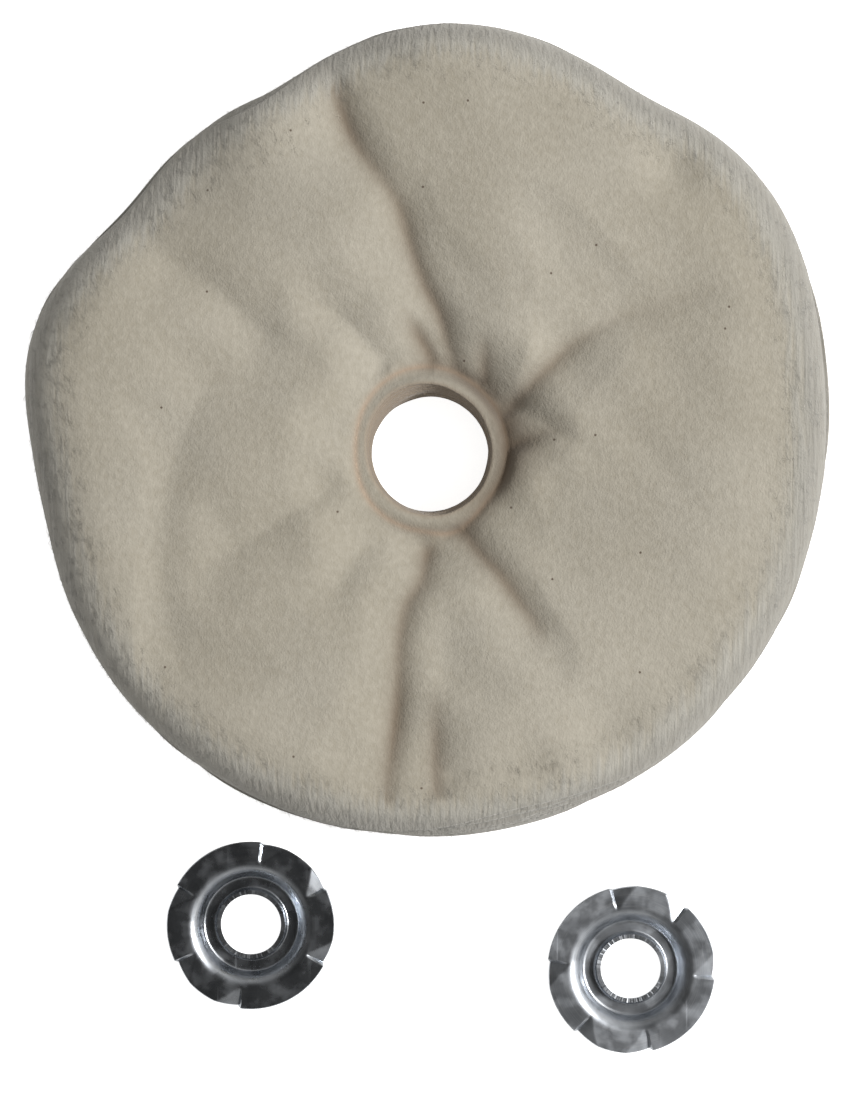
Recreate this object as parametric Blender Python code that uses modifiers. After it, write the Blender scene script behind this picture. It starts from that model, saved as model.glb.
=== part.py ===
"""Loose cotton-flannel polishing wheel with its two stamped reducing flanges.

The set lies flat on a bench. The wheel is a stack of round flannel plies sewn together by one
lockstitch circle around the arbor hole. The two flanges lie beside it with their outer sides up.
Units are metres and degrees, +Z is up, and the origin is the middle of the set's footprint on
the bench.
"""

import math

import bmesh
import bpy
from mathutils import Vector

SET_NAME = "polishing_wheel"

# Every pair of neighbouring solids stays this far apart.
CLEARANCE = 0.0003

# Edges that turn by more than this stay crisp.
SHARP_DEGREES = 35.0

# Flannel plies.
PLY_COUNT = 20
PLY_THICKNESS = 0.0006
PLY_STEPS = 48
BORE_RADIUS = 0.0127
BORE_FLARE = 0.0008
BORE_FLARE_PLIES = 3
SLACK_RADIUS = 0.0820
TOP_PLY_PULL_IN = 0.0050

# The stitching presses the two outermost plies thinner at the hub.
HUB_PRESS = 0.00015
HUB_PRESS_RADIUS = 0.0176
HUB_EDGE_RADIUS = 0.0190

# Where the slack cloth is pushed out of round: direction, half-width (both degrees), height.
OUTLINE_LOBES = (
    (0.0, 22.0, 0.0011),
    (40.0, 26.0, 0.0086),
    (86.0, 24.0, 0.0092),
    (128.0, 16.0, 0.0017),
    (163.0, 20.0, 0.0060),
    (212.0, 22.0, 0.0013),
)

# The lockstitch circle that holds the plies together.
STITCH_RADIUS = 0.0160
THREAD_RADIUS = 0.00025
STITCH_SEGMENTS = 36
THREAD_SEGMENTS = 6

# Flanges: a steel disc with a hole for the arbor, a dished pilot and a rim with pressed teeth.
SHEET_THICKNESS = 0.0009
ARBOR_HOLE_RADIUS = 0.00645
COLLAR_RISE = 0.0019
FLOOR_START_RADIUS = 0.0080
FLOOR_END_RADIUS = 0.0104
PILOT_END_RADIUS = 0.0121
RIM_START_RADIUS = 0.0131
RIM_RADIUS = 0.0180
PILOT_DEPTH = 0.0033
RIM_RINGS = 3
FLANGE_STEPS = 60

# Each tooth is a V crease in the rim: its direction, and the side on which its broad facet lies.
TEETH = ((36, 1), (90, 1), (144, -1), (216, 1), (270, 1), (324, -1))
TOOTH_DEPTH = 0.0014
TOOTH_BROAD_DEGREES = 12.0
TOOTH_STEEP_DEGREES = 6.0

# Where the flanges lie, from the wheel's bore, and the direction that each one's zero faces.
FRONT_FLANGE_PLACE = (-0.0385, -0.1013)
FRONT_FLANGE_TURN = 117.0
BACK_FLANGE_PLACE = (0.0433, -0.1108)
BACK_FLANGE_TURN = 137.0

STACK_BOTTOM = 2 * THREAD_RADIUS + CLEARANCE - HUB_PRESS
PLY_PITCH = PLY_THICKNESS + CLEARANCE
STACK_TOP = STACK_BOTTOM + PLY_COUNT * PLY_PITCH - CLEARANCE


def clear_scene():
    for obj in list(bpy.data.objects):
        bpy.data.objects.remove(obj, do_unlink=True)


def make_collection(name):
    collection = bpy.data.collections.new(name)
    bpy.context.scene.collection.children.link(collection)
    return collection


def make_material(name, colour, roughness, metallic):
    material = bpy.data.materials.new(name)
    material.use_nodes = True
    shader = material.node_tree.nodes["Principled BSDF"]
    shader.inputs["Base Color"].default_value = (*colour, 1.0)
    shader.inputs["Roughness"].default_value = roughness
    shader.inputs["Metallic"].default_value = metallic
    return material


def make_empty(name, parent, location):
    empty = bpy.data.objects.new(name, None)
    PARTS.objects.link(empty)
    empty.parent = parent
    empty.location = location
    return empty


def add_object(name, data, parent, material):
    obj = bpy.data.objects.new(name, data)
    PARTS.objects.link(obj)
    obj.parent = parent
    data.materials.append(material)
    return obj


def angle_between(first, second):
    """Signed smallest angle from second to first, in degrees."""
    return (first - second + 180.0) % 360.0 - 180.0


def slack_radius(degrees):
    """Radius of the slack bottom ply's outline in one direction."""
    radius = SLACK_RADIUS
    for direction, half_width, height in OUTLINE_LOBES:
        offset = angle_between(degrees, direction) / half_width
        radius += height * math.exp(-offset * offset)
    return radius


def turned_mesh(name, profile, steps, closed):
    """A profile at +X, open or closed, turned once about Z."""
    line = bpy.data.meshes.new(name + "_profile")
    edges = [(index, index + 1) for index in range(len(profile) - 1)]
    if closed:
        edges.append((len(profile) - 1, 0))
    line.from_pydata([(radius, 0.0, height) for radius, height in profile], edges, [])
    blank = bpy.data.objects.new(name + "_profile", line)
    PARTS.objects.link(blank)
    screw = blank.modifiers.new("turn", "SCREW")
    screw.angle = math.radians(360.0)
    screw.steps = steps
    screw.render_steps = steps
    screw.use_merge_vertices = True
    screw.merge_threshold = 0.0001
    graph = bpy.context.evaluated_depsgraph_get()
    mesh = bpy.data.meshes.new_from_object(blank.evaluated_get(graph))
    mesh.name = name
    bpy.data.objects.remove(blank, do_unlink=True)
    return mesh


def bore_radius(index):
    """The bore is pulled open a little in the plies nearest either face."""
    from_face = min(index, PLY_COUNT - 1 - index)
    opening = max(0.0, 1.0 - from_face / BORE_FLARE_PLIES)
    return BORE_RADIUS + BORE_FLARE * opening


def ply_profile(index):
    """Section of a ply, in under it from its outer edge, up the bore and out along its top."""
    half = PLY_THICKNESS / 2
    bore = bore_radius(index)
    under = [(SLACK_RADIUS, -half), (bore, -half)]
    over = [(bore, half), (SLACK_RADIUS, half)]
    if index == 0:
        under = under[:1] + pressed_hub(bore, HUB_PRESS - half)[::-1]
    if index == PLY_COUNT - 1:
        over = pressed_hub(bore, half - HUB_PRESS) + over[1:]
    return under + over


def pressed_hub(bore, height):
    """The pressed part of a face, from the bore out to where the cloth is at full thickness."""
    full_height = math.copysign(PLY_THICKNESS / 2, height)
    return [(bore, height), (HUB_PRESS_RADIUS, height), (HUB_EDGE_RADIUS, full_height)]


def drape_outline(mesh, pull_in):
    """Gives a round ply the outline of the slack cloth, drawn in by its folds."""
    for vert in mesh.vertices:
        if math.hypot(vert.co.x, vert.co.y) > HUB_EDGE_RADIUS + CLEARANCE:
            angle = math.atan2(vert.co.y, vert.co.x)
            radius = slack_radius(math.degrees(angle)) - pull_in
            vert.co.x = radius * math.cos(angle)
            vert.co.y = radius * math.sin(angle)


def make_ply(index, parent, material):
    """One flannel disc, numbered from the bench up."""
    name = f"ply_{index + 1:02d}"
    mesh = turned_mesh(name, ply_profile(index), PLY_STEPS, closed=True)
    drape_outline(mesh, TOP_PLY_PULL_IN * index / (PLY_COUNT - 1))
    ply = add_object(name, mesh, parent, material)
    ply.location.z = STACK_BOTTOM + index * PLY_PITCH + PLY_THICKNESS / 2
    mesh.shade_smooth()
    mesh.set_sharp_from_angle(angle=math.radians(SHARP_DEGREES))


def make_stitch(name, height, parent, material):
    """The thread on one face of the hub, as a ring that follows the stitch circle."""
    bpy.ops.mesh.primitive_torus_add(
        major_radius=STITCH_RADIUS,
        minor_radius=THREAD_RADIUS,
        major_segments=STITCH_SEGMENTS,
        minor_segments=THREAD_SEGMENTS,
    )
    ring = bpy.context.object
    for collection in list(ring.users_collection):
        collection.objects.unlink(ring)
    PARTS.objects.link(ring)
    ring.name = name
    ring.data.name = name
    ring.parent = parent
    ring.location = (0.0, 0.0, height)
    ring.data.materials.append(material)
    ring.data.shade_smooth()


def flange_profile():
    """Middle of the sheet, from the rim's edge in to the top of the collar: (radius, height)."""
    half = SHEET_THICKNESS / 2
    rim_height = PILOT_DEPTH + half
    profile = []
    for ring in range(RIM_RINGS + 1):
        share = ring / RIM_RINGS
        profile.append((RIM_RADIUS + (RIM_START_RADIUS - RIM_RADIUS) * share, rim_height))
    profile.append((PILOT_END_RADIUS, half + 0.8 * PILOT_DEPTH))
    profile.append((FLOOR_END_RADIUS + half, half + 0.15 * PILOT_DEPTH))
    profile.append((FLOOR_END_RADIUS, half))
    profile.append((FLOOR_START_RADIUS, half))
    profile.append((ARBOR_HOLE_RADIUS + 1.5 * half, half + 0.35 * COLLAR_RISE))
    profile.append((ARBOR_HOLE_RADIUS + half, half + COLLAR_RISE))
    return profile


def tooth_share(degrees):
    """How far a direction lies down a tooth: 1 in the crease, 0 on the flat rim."""
    share = 0.0
    for direction, broad_side in TEETH:
        offset = angle_between(degrees, direction) * broad_side
        if 0.0 <= offset < TOOTH_BROAD_DEGREES:
            share = max(share, 1.0 - offset / TOOTH_BROAD_DEGREES)
        elif -TOOTH_STEEP_DEGREES < offset < 0.0:
            share = max(share, 1.0 + offset / TOOTH_STEEP_DEGREES)
    return share


def press_teeth(mesh):
    """Pushes the creases down into the rim, deeper towards its edge."""
    form = bmesh.new()
    form.from_mesh(mesh)
    for vert in form.verts:
        radius = math.hypot(vert.co.x, vert.co.y)
        outward = (radius - RIM_START_RADIUS) / (RIM_RADIUS - RIM_START_RADIUS)
        if outward > 0.0:
            degrees = math.degrees(math.atan2(vert.co.y, vert.co.x))
            vert.co.z -= TOOTH_DEPTH * min(outward, 1.0) * tooth_share(degrees)
    form.to_mesh(mesh)
    form.free()


def make_flange(name, parent, place, turn, material):
    """One stamped reducing flange, its pilot down and its outer side up."""
    mesh = turned_mesh(name, flange_profile(), FLANGE_STEPS, closed=False)
    press_teeth(mesh)
    flange = add_object(name, mesh, parent, material)
    flange.location = (*place, 0.0)
    flange.rotation_euler.z = math.radians(turn)
    sheet = flange.modifiers.new("sheet", "SOLIDIFY")
    sheet.thickness = SHEET_THICKNESS
    sheet.offset = 0.0
    sheet.use_even_offset = True
    mesh.shade_smooth()
    mesh.set_sharp_from_angle(angle=math.radians(SHARP_DEGREES))


def centre_on_footprint(root):
    """Moves the whole set so that the middle of its footprint on the bench is the origin."""
    graph = bpy.context.evaluated_depsgraph_get()
    corners = []
    for obj in PARTS.objects:
        if obj.type == "EMPTY":
            continue
        solid = obj.evaluated_get(graph)
        mesh = solid.to_mesh()
        corners.extend(solid.matrix_world @ vert.co for vert in mesh.vertices)
        solid.to_mesh_clear()
    low = Vector([min(corner[axis] for corner in corners) for axis in range(3)])
    high = Vector([max(corner[axis] for corner in corners) for axis in range(3)])
    middle = (low + high) / 2
    root.location = (-middle.x, -middle.y, -low.z)


clear_scene()
PARTS = make_collection(SET_NAME)
flannel = make_material("flannel", (0.60, 0.54, 0.44), 0.95, 0.0)
thread = make_material("cotton_thread", (0.66, 0.60, 0.50), 0.8, 0.0)
plated_steel = make_material("plated_steel", (0.50, 0.51, 0.53), 0.28, 1.0)

layout = make_empty("layout", None, (0.0, 0.0, 0.0))
buff = make_empty("bore_axis", layout, (0.0, 0.0, 0.0))
for ply_index in range(PLY_COUNT):
    make_ply(ply_index, buff, flannel)
make_stitch("bobbin_thread", THREAD_RADIUS, buff, thread)
make_stitch("needle_thread", STACK_TOP - HUB_PRESS + CLEARANCE + THREAD_RADIUS, buff, thread)
make_flange("front_flange", layout, FRONT_FLANGE_PLACE, FRONT_FLANGE_TURN, plated_steel)
make_flange("back_flange", layout, BACK_FLANGE_PLACE, BACK_FLANGE_TURN, plated_steel)
centre_on_footprint(layout)
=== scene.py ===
"""Looks of the loose flannel polishing wheel and its two reducing flanges.

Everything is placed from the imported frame. Lengths inside the shape functions are millimetres
from the wheel's bore axis, x to the right and y away from the flanges, and heights are
millimetres above the bench.
"""

import math

import bpy
import numpy as np
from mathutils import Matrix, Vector


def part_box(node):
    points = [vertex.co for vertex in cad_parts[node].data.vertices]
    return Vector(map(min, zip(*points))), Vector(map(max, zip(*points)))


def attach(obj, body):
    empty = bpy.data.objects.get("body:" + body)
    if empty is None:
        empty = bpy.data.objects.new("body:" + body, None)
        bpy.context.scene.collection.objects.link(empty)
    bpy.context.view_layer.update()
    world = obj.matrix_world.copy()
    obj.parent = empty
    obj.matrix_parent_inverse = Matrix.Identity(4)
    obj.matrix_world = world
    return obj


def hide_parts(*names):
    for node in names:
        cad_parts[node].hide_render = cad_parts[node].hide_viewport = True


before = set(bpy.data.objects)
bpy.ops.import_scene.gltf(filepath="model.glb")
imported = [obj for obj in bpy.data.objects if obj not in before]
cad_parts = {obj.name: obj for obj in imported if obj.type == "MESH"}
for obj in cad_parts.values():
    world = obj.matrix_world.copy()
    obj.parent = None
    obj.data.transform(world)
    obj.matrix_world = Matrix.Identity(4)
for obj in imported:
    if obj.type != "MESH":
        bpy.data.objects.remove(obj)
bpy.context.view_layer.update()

MM = 0.001
SEED = 7

# ---- places taken from the frame ----
PLIES = sorted(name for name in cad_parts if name.startswith("ply_"))
PLY_COUNT = len(PLIES)
STITCH_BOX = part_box("needle_thread")
BORE_X = (STITCH_BOX[0].x + STITCH_BOX[1].x) / 2
BORE_Y = (STITCH_BOX[0].y + STITCH_BOX[1].y) / 2

# ---- the slack cloth, in millimetres ----
SLACK_RADIUS = 81.9
# where the outline is pushed out or drawn in: direction, half-width (both degrees), height
OUTLINE_LOBES = (
    (5.0, 24.0, 0.9),
    (40.0, 24.0, 8.4),
    (58.0, 7.0, -0.9),
    (86.0, 24.0, 9.5),
    (112.0, 8.0, -0.9),
    (122.0, 14.0, 2.0),
    (142.0, 7.0, -0.9),
    (163.0, 17.0, 6.4),
    (212.0, 24.0, 1.5),
)
BORE_RADIUS = 12.7
BORE_FLARE = 0.5
BORE_FLARE_FAR = 1.5
HUB_RING_RADIUS = 16.6
# the same for the stitched ring round the hub
RING_LOBES = ((95.0, 45.0, 1.6), (180.0, 32.0, -1.0), (286.0, 15.0, 1.0), (322.0, 18.0, -0.7))
# how deep the stitching pulls that ring, and where it pulls deeper
RING_DEPTH = 0.12
RING_DEPTH_LOBES = ((2.0, 60.0, 1.0), (58.0, 36.0, 0.6), (-52.0, 26.0, 0.45))
# the hub leans a little, with its low side in this direction
HUB_HEIGHT = 13.6
HUB_TILT = 1.2
HUB_TILT_TURN = -6.0
# the rolled lip between bore and ring: its height where it is lowest, and where it swells
LIP_HEIGHT = 0.245
LIP_LOBES = ((75.0, 60.0, 0.455),)
# the crown outside the ring; in the late sector it rises only by the far end of the late band
CROWN_HEIGHT = 18.0
CROWN_REACH = 15.0
LATE_SECTOR = (-26.0, 26.0)
LATE_BAND = (20.0, 62.0)
LATE_SHARE = 0.65
# the edge: its height and the reach of its roll, on most sides and in the blunt sector
EDGE_HEIGHT = 7.5
EDGE_ROLL = 14.0
BLUNT_SECTOR = (0.0, 62.0)
BLUNT_HEIGHT = 13.5
BLUNT_ROLL = 6.0
# how far plies end inside the outline: the lowest one all round, and the top one in two places
LOWEST_INSET = 0.9
TOP_INSETS = ((284.0, 20.0, 4.5), (117.0, 9.0, 3.5))
BENCH_GAP = 0.15
LOWEST_HAIR = 0.12
# a fold in thick cloth has no sharper bottom than this
ROUNDING = 0.55
# inside a fold's bend, segments whose distances differ by less than this share the say
FOLD_BLEND = 1.2
# half of a ply's thickness as a share of the ply pitch
HALF_SHARE = 0.42
# points round and rows (at the hub, between, at the edge) of the top ply, the next and the rest
FINE_GRID = ((470, (18, 90, 27)), (400, (12, 40, 10)), (240, (7, 9, 9)))
HUB_SHARE = 0.12
EDGE_SHARE = 0.08
# the simulated slack: its grid, its enlargement while it runs and its length in frames
SIM_TURNS = 220
SIM_ROWS = 52
SIM_SCALE = 10.0
SIM_STEPS = 24
# how much larger the top ply is cut than the place it lies in
SLACK_SHARE = 0.008
# folds at least this deep hold the ply this far to either side, and the hub holds it out to here
HELD_DEPTH = 0.6
HELD_REACH = 2.6
HELD_HUB = (17.0, 20.0)
# passes that smooth the settled rise, the share of it that is used, and its bounds
SIM_SMOOTHING = 3
SIM_STRENGTH = 0.7
SIM_SINK = -0.10
SIM_RISE = 0.70
# the side of the hub that is browned by stain and darkened with painted shade: direction and half-width
# in degrees
STAIN_AND_SHADE_SIDE = (0.0, 90.0)
# the combed nap: direction in which it was brushed, in degrees, and the width of its band
BRUSHED_TURN = 290.0
NAP_BAND = 11.0
# the cloth's slope under a hair is read over this step, and no nearer the outline than this
NORMAL_STEP = 0.4
NORMAL_INSET = 1.0
# how far a combed hair's root, middle and tip stand above the cloth
NAP_LIFT = (-0.02, 0.025, -0.01)


def smooth(low, high, value):
    """0 below low, 1 above high and an S-curve between."""
    share = np.clip((value - low) / (high - low), 0.0, 1.0)
    return share * share * (3.0 - 2.0 * share)


def turn_between(first, second):
    """Signed smallest angle from second to first, in degrees."""
    return (first - second + 180.0) % 360.0 - 180.0


def bump_round(degrees, centre, half_width):
    """A round bump in direction, 1 at its centre."""
    return np.exp(-((turn_between(degrees, centre) / half_width) ** 2))


def ripple(degrees, waves):
    """A sum of sines round the wheel: (count, height, phase in degrees)."""
    total = np.zeros_like(degrees)
    for count, height, phase in waves:
        total = total + height * np.sin(np.radians(count * degrees + phase))
    return total


def lobed(degrees, base, lobes):
    """A value round the wheel: its base, and a bump for each direction, half-width and height."""
    value = np.full_like(degrees, base)
    for direction, half_width, height in lobes:
        value = value + height * bump_round(degrees, direction, half_width)
    return value


def outline_radius(degrees):
    """Radius of the whole stack's outline."""
    return lobed(degrees, SLACK_RADIUS, OUTLINE_LOBES)


def hills(x, y):
    """Slow, irregular unevenness of hand-thrown cloth, from seeded waves."""
    draw = np.random.default_rng(SEED)
    total = np.zeros_like(x)
    for length, height in ((75.0, 0.30), (44.0, 0.18), (26.0, 0.07), (15.0, 0.03)):
        for _ in range(3):
            turn = draw.uniform(0.0, 2.0 * math.pi)
            phase = draw.uniform(0.0, 2.0 * math.pi)
            along = x * math.cos(turn) + y * math.sin(turn)
            total += height * np.sin(2.0 * math.pi * along / length + phase)
    return total


class Fold:
    """A crease (deep above 0) or a ridge (deep below 0) along a path from the hub outwards.

    left and right are how far it reaches on either side of a person walking the path outwards.
    sharp is 1 for a V, 2 for a soft trough. fade_in and fade_out are shares of its length.
    """

    def __init__(self, path, deep, left, right, sharp=1.15, fade_in=0.12, fade_out=0.3):
        self.path = np.array(smooth_path(path))
        self.deep = deep
        self.left = left
        self.right = right
        self.sharp = sharp
        self.fade_in = fade_in
        self.fade_out = fade_out

    def drop(self, x, y, widest=99.0):
        """How far the fold lowers the cloth, its reach held to widest."""
        start = self.path[:-1, :, None]
        step = np.diff(self.path, axis=0)[:, :, None]
        apart_x = x.ravel()[None, :] - start[:, 0]
        apart_y = y.ravel()[None, :] - start[:, 1]
        along = (apart_x * step[:, 0] + apart_y * step[:, 1]) / (step**2).sum(axis=1)
        along = np.clip(along, 0.0, 1.0)
        apart_x = apart_x - along * step[:, 0]
        apart_y = apart_y - along * step[:, 1]
        far = np.hypot(apart_x, apart_y)
        nearest = far.min(axis=0)
        weight = np.exp((nearest - far) / FOLD_BLEND)
        weight /= weight.sum(axis=0)
        side = (weight * np.sign(step[:, 0] * apart_y - step[:, 1] * apart_x)).sum(axis=0)
        share = (weight * (np.arange(len(step))[:, None] + along)).sum(axis=0) / len(step)
        width = self.right + (self.left - self.right) * (side + 1.0) / 2.0
        width = np.minimum(width, widest)
        body = smooth(0.0, self.fade_in, share) * (1.0 - smooth(1.0 - self.fade_out, 1.0, share))
        turns = share * np.hypot(step[:, 0], step[:, 1]).sum() * 2.0 * math.pi
        uneven = 0.18 * np.sin(turns / 37.0 + self.path[0, 0])
        uneven += 0.10 * np.sin(turns / 21.0 + self.path[0, 1])
        body *= 1.0 + uneven
        rounded_far = np.sqrt(nearest**2 + ROUNDING**2) - ROUNDING
        return (self.deep * body * np.exp(-((rounded_far / width) ** self.sharp))).reshape(x.shape)


def smooth_path(points, steps=4):
    """Catmull-Rom curve through the points."""
    points = [np.array(point) for point in points]
    ends = [2.0 * points[0] - points[1], *points, 2.0 * points[-1] - points[-2]]
    curve = []
    for before, start, end, after in zip(ends, ends[1:], ends[2:], ends[3:]):
        for t in np.arange(steps) / steps:
            straight = 2.0 * start + (end - before) * t
            bend = (2.0 * before - 5.0 * start + 4.0 * end - after) * t * t
            twist = (3.0 * start - before - 3.0 * end + after) * t**3
            curve.append(0.5 * (straight + bend + twist))
    curve.append(points[-1])
    return curve


LONG_CREASE = (
    (14.2, 5.7), (10.6, 12.1), (6.4, 16.3), (4.3, 21.5), (2.2, 28.9), (-1.0, 35.3), (-3.7, 42.6),
    (-6.3, 51.1), (-9.4, 56.3), (-14.7, 63.7), (-17.9, 70.1), (-20.0, 77.4), (-21.5, 84.0),
)
RIGHT_CREASE = (
    (15.9, 4.5), (16.9, 8.5), (19.0, 11.4), (24.3, 16.9), (30.6, 22.6), (40.1, 27.9),
    (54.9, 32.1), (66.0, 33.0),
)
NEAR_TUCK = (
    (0.9, -17.5), (-0.8, -22.7), (-1.6, -27.0), (-4.6, -32.2), (-6.3, -39.6), (-6.5, -48.0),
    (-6.9, -54.4), (-7.8, -61.8), (-8.8, -69.1), (-9.1, -76.0),
)
LEFT_ARC = (
    (-41.1, 24.7), (-47.4, 13.1), (-52.3, 2.6), (-55.2, -10.1), (-56.5, -22.7), (-55.2, -35.4),
    (-52.3, -45.9), (-47.4, -56.5),
)
FAR_LEFT_CREASE = (
    (-21.0, 21.3), (-29.5, 22.4), (-34.8, 24.7), (-41.1, 30.0), (-47.4, 35.3), (-54.8, 40.1),
    (-60.1, 45.8), (-64.5, 52.5),
)

FOLDS = (
    # the long crease from the hub to the far edge, and the broad hollow on its right
    Fold(LONG_CREASE, 1.5, 8.5, 2.5, fade_in=0.05, fade_out=0.05),
    Fold(LONG_CREASE, 1.45, 4.5, 11.0, fade_in=0.05, fade_out=0.08),
    # the crease that leaves the hub on the right and fades into a broad hollow
    Fold(RIGHT_CREASE, 0.95, 6.0, 2.4, fade_in=0.03, fade_out=0.75),
    Fold(RIGHT_CREASE, 3.3, 6.5, 18.0, fade_in=0.26, fade_out=0.35),
    Fold(((15.6, 0.6), (19.0, 1.9), (24.3, 4.0), (31.0, 6.6)), 2.1, 2.8, 1.8, fade_in=0.03, fade_out=0.7),
    Fold(((16.0, -1.0), (19.0, -0.6), (24.3, 0.6), (31.0, 2.5)),
         -1.8, 3.0, 8.0, fade_in=0.05, fade_out=0.8),
    Fold(((16.5, 10.5), (19.8, 18.0), (21.3, 24.0), (21.0, 32.0)),
         -1.5, 3.6, 5.0, fade_in=0.2, fade_out=0.6),
    Fold(((6.8, -16.0), (10.6, -21.3), (14.8, -25.9), (19.0, -31.8), (22.2, -36.5), (24.9, -41.7)),
         2.0, 3.6, 7.5, fade_in=0.03, fade_out=0.25),
    # the tuck that runs from the hub to the near edge
    Fold(NEAR_TUCK, 1.25, 2.5, 9.0, fade_in=0.1, fade_out=0.06),
    Fold(NEAR_TUCK, 1.1, 8.0, 4.5, fade_in=0.1, fade_out=0.3),
    Fold(((1.3, -48.0), (1.3, -58.6), (1.3, -67.0), (1.7, -73.5)),
         1.5, 3.4, 4.0, fade_in=0.45, fade_out=0.12),
    Fold(((4.7, -29.0), (3.8, -41.7), (4.7, -54.0)), 0.9, 8.0, 4.0, sharp=1.6, fade_in=0.3, fade_out=0.3),
    Fold(((3.0, -68.4), (8.5, -67.5), (14.8, -67.0), (24.3, -66.0), (38.0, -62.0)),
         0.7, 1.3, 0.9, fade_in=0.1, fade_out=0.5),
    # soft creases on the left
    Fold(((-17.9, -5.4), (-22.1, -8.0), (-31.6, -14.3), (-40.0, -19.6), (-52.7, -25.9)),
         1.9, 4.0, 8.0, sharp=1.25, fade_in=0.35, fade_out=0.25),
    Fold(((-8.0, -14.3), (-12.6, -18.5), (-16.8, -23.4), (-20.0, -29.1), (-25.3, -35.4)),
         1.3, 4.0, 6.0, sharp=1.4, fade_in=0.35, fade_out=0.5),
    Fold(LEFT_ARC, 0.65, 5.0, 8.0, sharp=1.2, fade_in=0.15, fade_out=0.2),
    Fold(FAR_LEFT_CREASE, 1.6, 9.0, 4.6, sharp=1.3, fade_in=0.3, fade_out=0.06),
    Fold(((-8.0, 17.8), (-12.6, 22.0), (-17.9, 27.5), (-23.2, 31.0), (-30.0, 33.5)),
         1.8, 5.5, 4.0, fade_in=0.12, fade_out=0.45),
    Fold(((1.3, 17.6), (-1.0, 22.6), (-3.7, 26.8), (-5.9, 31.7)),
         1.1, 2.6, 1.8, fade_in=0.15, fade_out=0.6),
    Fold(((11.6, 14.2), (11.6, 19.4), (10.6, 26.5)), 0.9, 2.0, 2.0, fade_in=0.15, fade_out=0.6),
)

# Rounded swellings and hollows: place, reach and height.
SWELLINGS = (
    (20.0, -7.5, 5.0, 1.3),
    (-14.0, 84.0, 8.0, -2.2),
    (-57.0, 61.0, 17.0, -6.0),
    (-37.0, 70.0, 8.0, 1.6),
    (-14.0, 52.0, 11.0, 0.6),
    (51.0, 60.0, 6.0, -1.6),
    (37.0, -57.0, 9.0, -1.7),
    (50.0, 14.0, 12.0, -0.8),
    (-40.0, 14.0, 9.0, -0.6),
    (45.0, -25.0, 22.0, 0.8),
)


def crease_depth(x, y):
    """Everything that the folds and swellings take off the crown's height."""
    drop = np.zeros_like(x)
    for fold in FOLDS:
        drop += fold.drop(x, y)
    for centre_x, centre_y, reach, height in SWELLINGS:
        away = np.hypot(x - centre_x, y - centre_y) / reach
        drop -= height * np.exp(-away * away)
    return drop


def ring_centre(degrees):
    """Radius of the stitched crease round the hub, which the machine did not sew quite round."""
    return lobed(degrees, HUB_RING_RADIUS, RING_LOBES)


def hub_ring(degrees, radius):
    """The crease that the stitching pulls round the hub, deepest on the right."""
    depth = lobed(degrees, RING_DEPTH, RING_DEPTH_LOBES)
    away = np.abs(radius - ring_centre(degrees))
    return depth * np.exp(-(away**1.2))


def top_height(degrees, radius):
    """Height of the stack's upper face above the bench."""
    x = radius * np.cos(np.radians(degrees))
    y = radius * np.sin(np.radians(degrees))
    hub = HUB_HEIGHT - HUB_TILT * np.cos(np.radians(degrees - HUB_TILT_TURN))
    rise = smooth(HUB_RING_RADIUS - 1.0, HUB_RING_RADIUS + CROWN_REACH, radius) ** 0.8
    # the cloth below and right of the hub rises late, so it lies almost flat there
    late = bump_round(degrees, *LATE_SECTOR) * (1.0 - smooth(*LATE_BAND, radius))
    height = hub + (CROWN_HEIGHT - hub) * rise * (1.0 - LATE_SHARE * late)
    bore = BORE_RADIUS - 0.6
    across = np.clip((radius - bore) / (HUB_RING_RADIUS - bore), 0.0, 1.0)
    height += lobed(degrees, LIP_HEIGHT, LIP_LOBES) * np.sin(math.pi * across**0.85)
    height -= hub_ring(degrees, radius)
    outer = smooth(HUB_RING_RADIUS - 2.0, HUB_RING_RADIUS + 2.0, radius)
    height += outer * (hills(x, y) - crease_depth(x, y))
    # the edge rolls over far on the left, and stays high and blunt on the right
    blunt = bump_round(degrees, *BLUNT_SECTOR)
    reach = EDGE_ROLL + (BLUNT_ROLL - EDGE_ROLL) * blunt
    edge = EDGE_HEIGHT + (BLUNT_HEIGHT - EDGE_HEIGHT) * blunt
    from_edge = np.clip((outline_radius(degrees) - radius) / reach, 0.0, 1.0)
    roll = np.sqrt(1.0 - (1.0 - from_edge) ** 2)
    return edge + (height - edge) * roll


def bench_height(degrees, radius):
    """Height of the stack's underside: flat, with its edge lifted where a fold runs out."""
    lift = 0.7 + ripple(degrees, ((2, 0.5, 40.0), (3, 0.45, 10.0), (5, 0.35, 75.0), (8, 0.2, 130.0)))
    share = smooth(-26.0, 0.0, radius - outline_radius(degrees))
    return BENCH_GAP + share * np.clip(lift, 0.0, None) * 1.6


def ply_waves(index):
    """Waves of one ply's own, for its outline and its height near the edge."""
    draw = np.random.default_rng(SEED + 100 + index)
    return [
        (int(draw.integers(low, high)), height * draw.uniform(0.6, 1.2), draw.uniform(0.0, 360.0))
        for low, high, height in ((3, 6, 0.40), (6, 11, 0.28), (11, 19, 0.18), (19, 34, 0.10))
    ]


def ply_inset(index, degrees):
    """How far a ply ends inside the outline: the top one covers the rest except in two places."""
    level = index / (PLY_COUNT - 1)
    return lobed(degrees, 0.0, TOP_INSETS) * level**5 + LOWEST_INSET * (1.0 - level)


def ply_edge(index, degrees):
    """Outer radius of one ply."""
    return outline_radius(degrees) - ply_inset(index, degrees) - 0.2 + ripple(degrees, ply_waves(index))


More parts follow.
